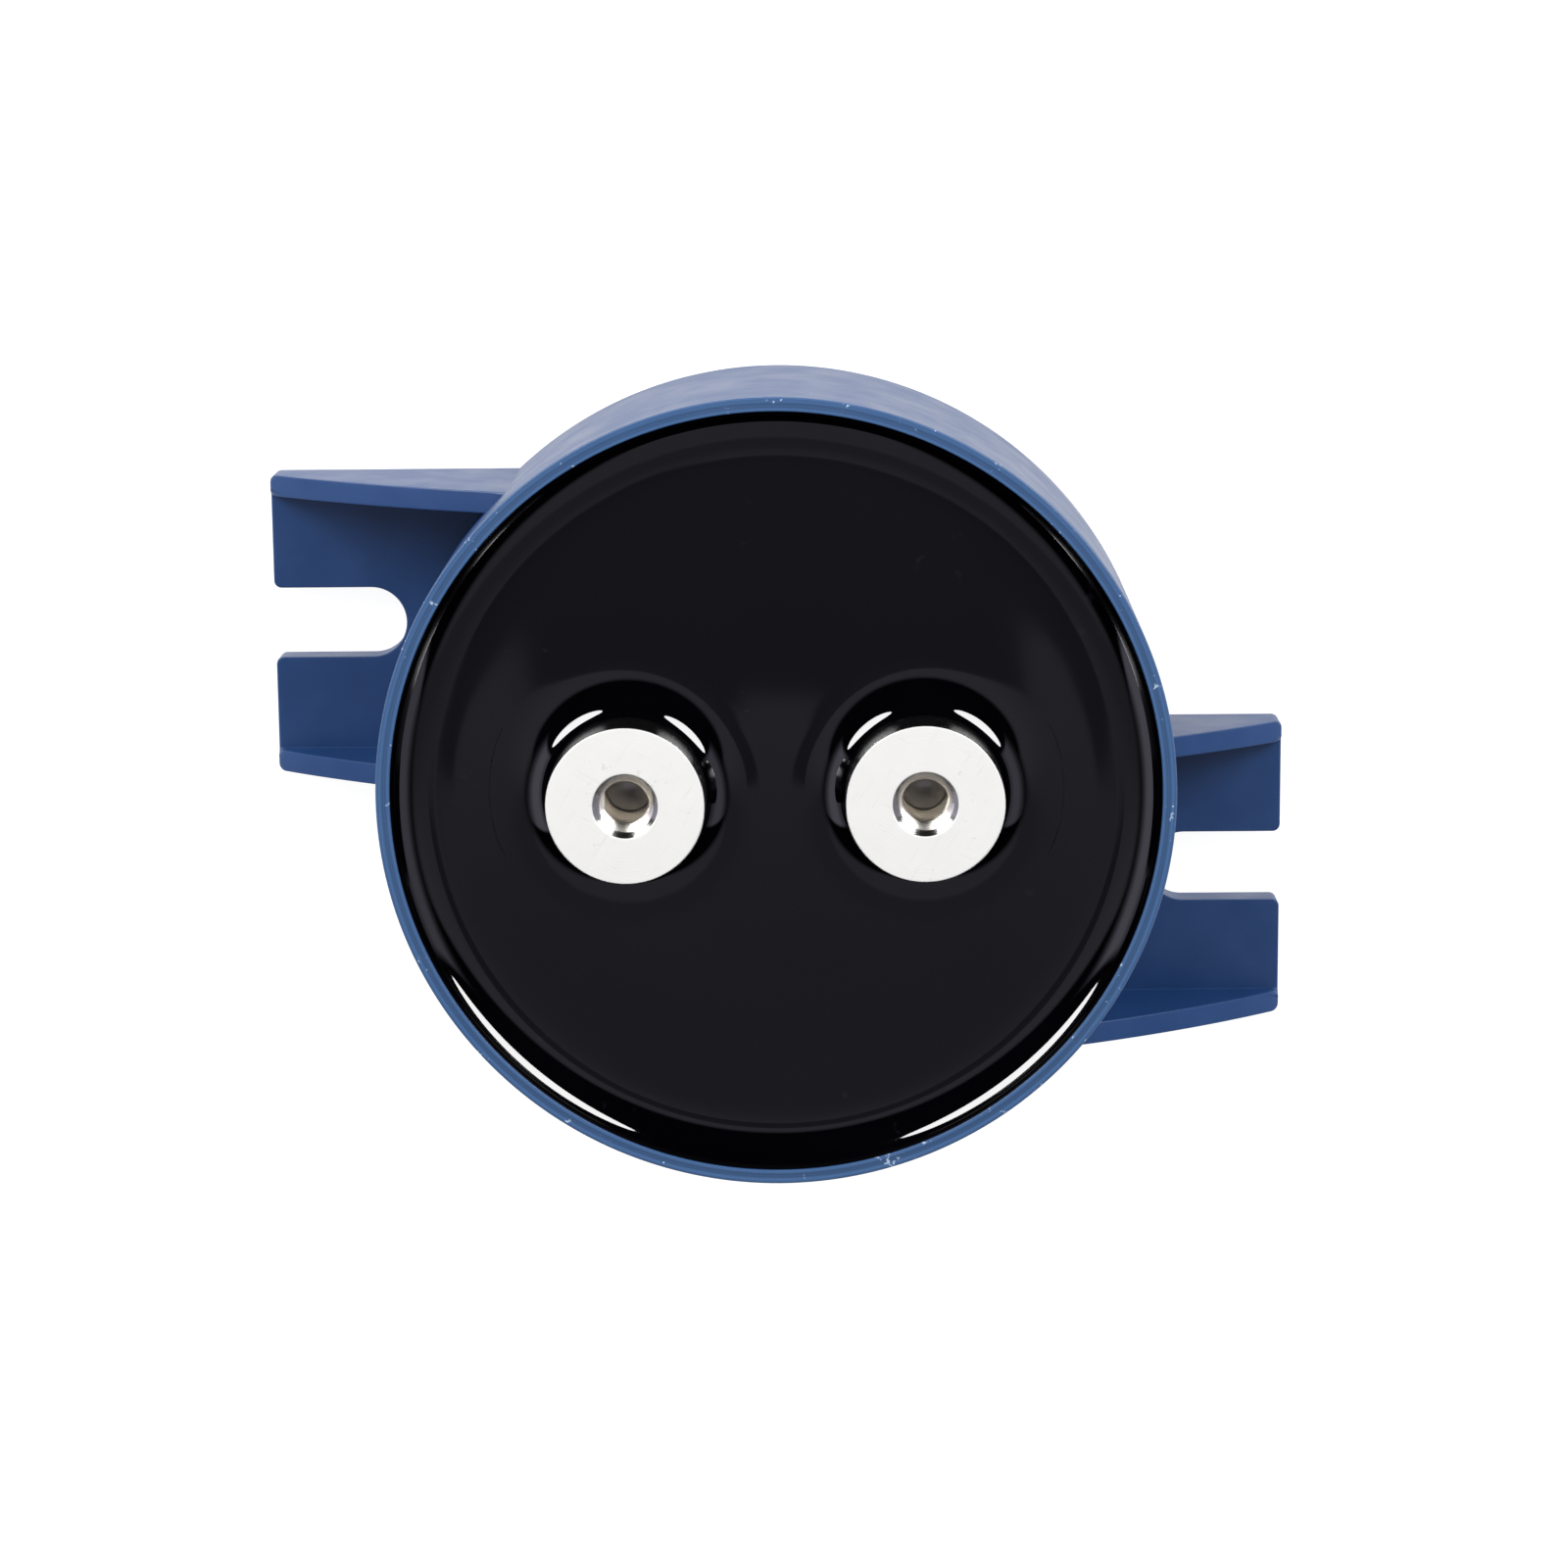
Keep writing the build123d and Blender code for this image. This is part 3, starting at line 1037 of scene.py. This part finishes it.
@dataclass
class Terminal:
    """A turned terminal with a blind M6 hole, standing out of the resin."""

    name: str
    node: str
    centre_x: float
    bottom: float = 22.8 * MM
    top: float = 38.2 * MM
    radius: float = 8.375 * MM
    edge_round: float = 0.25 * MM
    edge_steps: int = 3
    mouth_break: Point = (0.06 * MM, 0.05 * MM)
    drill_half_angle: float = 59.0
    groove_rise: float = 1.0 * MM
    groove_width: float = 1.6 * MM
    groove_depth: float = 1.2 * MM
    minor_radius: float = 2.5 * MM
    major_radius: float = 3.0 * MM
    mouth_radius: float = 3.45 * MM
    hole_depth: float = 10.5 * MM
    thread_pitch: float = 1.0 * MM
    thread_turns: int = 9
    thread_root_share: float = 0.46
    thread_crest_share: float = 0.06
    thread_overlap: float = 0.1 * MM
    turn_steps: int = 48
    segments: int = 128
    smooth_degrees: float = 28.0

    def _post(self) -> Piece:
        """The turned post with its plain hole."""
        side, waist, edge = self.radius, self.radius - self.groove_depth, self.edge_round
        low = self.bottom + self.groove_rise
        high = low + self.groove_width
        bore, mouth = self.minor_radius, self.mouth_radius
        break_out, break_down = self.mouth_break
        hole_bottom = self.top - self.hole_depth
        point = bore / math.tan(math.radians(self.drill_half_angle))
        profile = [(0.0, self.bottom), (side, self.bottom)]
        profile += [(side, low), (waist, low), (waist, high), (side, high)]
        profile += arc((side - edge, self.top - edge), edge, 0, 90, self.edge_steps)
        profile += [(mouth + break_out, self.top), (mouth, self.top - break_down)]
        profile += [(bore, self.top - (mouth - bore)), (bore, hole_bottom)]
        profile += [(0.0, hole_bottom - point)]
        mesh = bmesh.new()
        spin_profile(mesh, profile, self.segments, self.centre_x)
        weld(mesh)
        return to_object(mesh, self.name)

    def _thread_cutter(self) -> Piece:
        """A helical ridge, one pitch a turn, that cuts the thread's groove."""
        mesh = bmesh.new()
        start = self.top - self.hole_depth + self.thread_pitch
        inner, outer = self.minor_radius - self.thread_overlap, self.major_radius
        root = self.thread_pitch * self.thread_root_share
        crest = self.thread_pitch * self.thread_crest_share
        corners = [(inner, -root), (outer, -crest), (outer, crest), (inner, root)]
        verts = [mesh.verts.new((self.centre_x + r, 0.0, start + z)) for r, z in corners]
        edges = [mesh.edges.new(pair) for pair in zip(verts, verts[1:] + verts[:1])]
        steps, turn = self.turn_steps * self.thread_turns, FULL_TURN * self.thread_turns
        rise = self.thread_pitch / self.turn_steps
        spin(mesh, verts + edges, (self.centre_x, 0.0, 0.0), turn, steps, rise=rise)
        ends = [edge for edge in mesh.edges if edge.is_boundary]
        bmesh.ops.holes_fill(mesh, edges=ends, sides=len(corners))
        weld(mesh)
        return to_object(mesh, "Thread cutter")

    def build(self, material: Material) -> Piece:
        """Build and dress the terminal.

        Args:
            material: The turned metal.

        Returns:
            The finished piece.
        """
        post = combine(self._post(), [(self._thread_cutter(), "DIFFERENCE")])
        clean(post)
        post.name = post.data.name = self.name
        shade(post, self.smooth_degrees)
        finish_piece(post, material, "tinned_metal", [self.node])
        return post


@dataclass
class InnerPieces:
    """The pieces inside the resin keep their CAD shapes and get real finishes."""

    kit: ShaderKit

    def finishes(self) -> dict[InnerFinish, tuple[str, ...]]:
        """Each finish with the CAD nodes that wear it."""
        core = InnerFinish(
            "Core plastic", (0.55, 0.52, 0.42), (0.42, 0.39, 0.31), 0.45, 0.0, 800.0, 0.01 * MM
        )
        film = InnerFinish(
            "Metallised film", (0.62, 0.63, 0.66), (0.30, 0.31, 0.34), 0.25, 0.6, 900.0, 0.02 * MM,
            ring_pitch=0.15 * MM,
        )
        wrap = InnerFinish(
            "Film wrap", (0.62, 0.50, 0.20), (0.45, 0.34, 0.10), 0.22, 0.0, 500.0, 0.01 * MM,
            stretch=(0.2, 0.2, 2.0),
        )
        zinc = InnerFinish(
            "Sprayed zinc", (0.42, 0.42, 0.44), (0.20, 0.20, 0.22), 0.65, 0.8, 1600.0, 0.08 * MM
        )
        board = InnerFinish(
            "Pressed board", (0.42, 0.27, 0.12), (0.28, 0.17, 0.07), 0.8, 0.0, 1100.0, 0.02 * MM
        )
        copper = InnerFinish(
            "Rolled copper", (0.78, 0.38, 0.24), (0.55, 0.24, 0.14), 0.3, 1.0, 1200.0, 0.006 * MM,
            stretch=(0.15, 2.0, 1.0),
        )
        solder = InnerFinish(
            "Solder", (0.62, 0.62, 0.64), (0.42, 0.42, 0.45), 0.28, 1.0, 500.0, 0.03 * MM
        )
        return {
            core: ("winding_core",),
            film: ("film_winding",),
            wrap: ("winding_wrap",),
            zinc: ("end_spray_top", "end_spray_bottom"),
            board: ("insulating_disc_top", "insulating_disc_bottom"),
            copper: ("lead_strip_top", "lead_strip_bottom"),
            solder: ("solder_top", "solder_bottom", "solder_terminals"),
        }

    def dress(self, nodes: dict[str, Piece]) -> None:
        """Give every inner CAD node its finish."""
        for finish, names in self.finishes().items():
            material = finish.material(self.kit)
            for name in names:
                slots = nodes[name].data.materials
                slots.clear()
                slots.append(material)
                log.info("%s: finish %s", name, finish.name)


# ------------------------------------------------------------------ studio


@dataclass(frozen=True)
class Softbox:
    """An oval lamp that faces the middle of the part."""

    name: str
    azimuth: float
    elevation: float
    width: float
    height: float
    radiance: float
    distance: float = 0.60

    def build(self, target: Vector) -> None:
        """Add the lamp, aimed at the target."""
        area = self.width * self.height * math.pi / 4
        data = bpy.data.lights.new(self.name, "AREA")
        data.shape = "ELLIPSE"
        data.size, data.size_y = self.width, self.height
        data.energy = self.radiance * area * math.pi
        lamp = bpy.data.objects.new(self.name, data)
        turn, rise = math.radians(self.azimuth), math.radians(self.elevation)
        level = math.cos(rise)
        away = Vector((math.cos(turn) * level, math.sin(turn) * level, math.sin(rise)))
        lamp.location = target + away * self.distance
        lamp.rotation_euler = away.to_track_quat("Z", "Y").to_euler()
        lamp.visible_camera = False
        bpy.context.scene.collection.objects.link(lamp)


@dataclass(frozen=True)
class SidePanels:
    """Two white panels, one at each side, brightest a third of the way up."""

    across: Band = (-0.70, 0.27, 0.04)
    low: Ramp = (0.10, 0.50, 0.35, 1.0)
    high: Ramp = (0.66, 0.92, 1.0, 0.0)
    left_to_right: Ramp = (-0.1, 0.1, 0.75, 0.50)

    def light(self, graph: Graph, x: object, y: object, z: object) -> Socket:
        """How bright the panels are in a direction."""
        across = graph.band(graph.math("DIVIDE", y, graph.math("ABSOLUTE", x)), *self.across)
        weaker = graph.ramp(x, *self.left_to_right)
        return graph.times(across, graph.ramp(z, *self.low), graph.ramp(z, *self.high), weaker)


@dataclass(frozen=True)
class Ceiling:
    """A dim ceiling behind the camera, with a darker patch where the rig hangs.

    Its numbers are slopes: X or Y over the height.
    """

    lowest: float = 0.05
    along: Band = (-1.6, -0.055, 0.03)
    across: Band = (-0.45, 0.45, 0.15)
    near: Ramp = (-0.26, -0.12, 0.150, 0.270)
    far: Ramp = (-0.42, -0.33, 0.230, 0.150)
    rig_middle: Point = (-0.0146, -0.1625)
    rig_reach: Point = (0.060, 0.0415)
    rig_edge: Point = (0.96, 1.04)
    rig_foot: Point = (-0.200, -0.194)
    rig_light: float = 0.40
    gap: Band = (-0.0085, 0.0085, 0.002)
    gap_top: Point = (-0.180, -0.173)

    def _rig(self, graph: Graph, across: object, along: object) -> Socket:
        """1 where the rig hangs: a half oval with a gap in its foot."""
        (middle_x, middle_y), (reach_x, reach_y) = self.rig_middle, self.rig_reach
        middle = graph.plus(across, -middle_x)
        wide = graph.squared(graph.math("DIVIDE", middle, reach_x))
        rise = graph.math("MAXIMUM", graph.plus(along, -middle_y), 0.0)
        tall = graph.squared(graph.math("DIVIDE", rise, reach_y))
        dome = graph.fall(graph.plus(wide, tall), *self.rig_edge)
        gap = graph.times(graph.band(middle, *self.gap), graph.fall(along, *self.gap_top))
        return graph.times(dome, graph.ramp(along, *self.rig_foot), graph.between(gap, 1.0, 0.0))

    def light(self, graph: Graph, x: object, y: object, z: object) -> Socket:
        """How bright the ceiling is in a direction."""
        up = graph.math("MAXIMUM", z, self.lowest)
        across, along = graph.math("DIVIDE", x, up), graph.math("DIVIDE", y, up)
        bounds = graph.times(graph.band(along, *self.along), graph.band(across, *self.across))
        light = graph.math("MAXIMUM", graph.ramp(along, *self.near), graph.ramp(along, *self.far))
        shade_of_rig = graph.between(self._rig(graph, across, along), 1.0, self.rig_light)
        return graph.times(bounds, light, shade_of_rig)


@dataclass
class Studio:
    """Camera, lamps, pale floor and the surroundings that gloss reflects."""

    lens: float = 98.86
    sensor: float = 36.0
    tilt: tuple[float, float, float] = (0.196, -0.014, 0.007)
    offset: tuple[float, float, float] = (-0.184 * MM, 5.19 * MM, -486.866 * MM)
    clip: Point = (0.01, 50.0)
    floor_size: float = 6.0
    floor_level: float = -0.02 * MM
    paper_tones: Point = (0.78, 0.82)
    shadow_tone: float = 0.30
    glow: float = 0.86
    fill: Ramp = (0.35, 1.0, 0.24, 1.20)
    gloss_tint: Colour = (0.93, 0.90, 1.10)
    target: tuple[float, float, float] = (0.0, 0.0, 0.030)

    def camera(self) -> None:
        """Add the camera, looking down at the part with a slight lean from +Y."""
        about_x, about_y, about_z = self.tilt
        turn = (
            Matrix.Rotation(about_z, 3, "Z")
            @ Matrix.Rotation(about_y, 3, "Y")
            @ Matrix.Rotation(about_x, 3, "X")
        ).transposed()
        data = bpy.data.cameras.new("Camera")
        data.lens, data.sensor_width = self.lens, self.sensor
        data.clip_start, data.clip_end = self.clip
        camera = bpy.data.objects.new("Camera", data)
        camera.matrix_world = Matrix.Translation(-(turn @ Vector(self.offset))) @ turn.to_4x4()
        bpy.context.scene.collection.objects.link(camera)
        bpy.context.scene.camera = camera

    def lamps(self) -> None:
        """Add the two softboxes."""
        for box in (
            Softbox("Softbox left", 137.0, 25.0, 0.46, 0.27, 12.0),
            Softbox("Softbox right", 41.0, 25.0, 0.44, 0.27, 12.0),
        ):
            box.build(Vector(self.target))

    def floor(self) -> None:
        """Add a white floor that keeps a soft shadow of the part."""
        mesh = bmesh.new()
        bmesh.ops.create_grid(mesh, x_segments=1, y_segments=1, size=self.floor_size / 2)
        floor = to_object(mesh, "studio_floor")
        floor.data.transform(Matrix.Translation((0.0, 0.0, self.floor_level)))
        material = bpy.data.materials.new("Studio floor")
        material.use_nodes = True
        tree = material.node_tree
        tree.nodes.clear()
        graph = Graph(tree)
        paper = graph.add("ShaderNodeBsdfDiffuse")
        tone = graph.noise(graph.place(), 8.0, 3.0, 0.5)
        greys = ((grey, grey, grey) for grey in self.paper_tones)
        graph.feed(paper.inputs["Color"], graph.mix(tone, *greys))
        shadow_paper = graph.add("ShaderNodeBsdfDiffuse")
        graph.feed(shadow_paper.inputs["Color"], (*(self.shadow_tone,) * 3, 1.0))
        glow = graph.add("ShaderNodeEmission")
        graph.feed(glow.inputs["Strength"], self.glow)
        seen = graph.add("ShaderNodeAddShader")
        graph.feed(seen.inputs[0], shadow_paper.outputs[0])
        graph.feed(seen.inputs[1], glow.outputs[0])
        rays = graph.add("ShaderNodeLightPath")
        white = graph.math("MAXIMUM", rays.outputs["Is Camera Ray"], rays.outputs["Is Glossy Ray"])
        choose = graph.add("ShaderNodeMixShader")
        graph.feed(choose.inputs[0], white)
        graph.feed(choose.inputs[1], paper.outputs[0])
        graph.feed(choose.inputs[2], seen.outputs[0])
        output = graph.add("ShaderNodeOutputMaterial")
        graph.feed(output.inputs["Surface"], choose.outputs[0])
        floor.data.materials.append(material)

    def surroundings(self) -> None:
        """White round the camera, an even fill, and side panels for gloss."""
        world = bpy.data.worlds.new("Studio")
        bpy.context.scene.world = world
        world.use_nodes = True
        tree = world.node_tree
        tree.nodes.clear()
        graph = Graph(tree)
        direction = graph.add("ShaderNodeTexCoord").outputs["Generated"]
        x, y, z = graph.split(direction)
        gloss = graph.math(
            "MAXIMUM", SidePanels().light(graph, x, y, z), Ceiling().light(graph, x, y, z)
        )
        fill = graph.ramp(z, *self.fill)
        rays = graph.add("ShaderNodeLightPath")
        glossy = rays.outputs["Is Glossy Ray"]
        strength = self._choose(graph, glossy, fill, gloss)
        strength = self._choose(graph, rays.outputs["Is Camera Ray"], strength, 1.0)
        background = graph.add("ShaderNodeBackground")
        graph.feed(background.inputs["Color"], graph.mix(glossy, (1.0, 1.0, 1.0), self.gloss_tint))
        graph.feed(background.inputs["Strength"], strength)
        output = graph.add("ShaderNodeOutputWorld")
        graph.feed(output.inputs["Surface"], background.outputs[0])

    @staticmethod
    def _choose(graph: Graph, switch: object, off: object, on: object) -> Socket:
        """One value or another, by a switch that is 0 or 1."""
        node = graph.add("ShaderNodeMix", data_type="FLOAT")
        for socket, value in zip(node.inputs[0:1] + node.inputs[2:4], (switch, off, on)):
            graph.feed(socket, value)
        return node.outputs[0]

    def build(self) -> None:
        """Set the stage."""
        bpy.context.scene.view_settings.view_transform = "Standard"
        self.camera()
        self.lamps()
        self.floor()
        self.surroundings()


# -------------------------------------------------------------------- main


def main() -> None:
    """Build the studio and every piece, in order."""
    logging.basicConfig(level=logging.INFO, format="%(name)s: %(message)s")
    Studio().build()
    kit = ShaderKit()
    MouldedCup().build(MouldedPlastic().material(kit))
    PottingResin().build(CastResin().material(kit))
    for side, name in ((-1, "left"), (1, "right")):
        centre_x = side * PottingResin.terminal_x
        metal = TurnedMetal().material(kit, f"Turned metal {name}", centre_x)
        Terminal(f"threaded_terminal_{name}", f"terminal_{name}", centre_x).build(metal)
    InnerPieces(kit).dress(frame["nodes"])


if __name__ == "__main__":
    main()
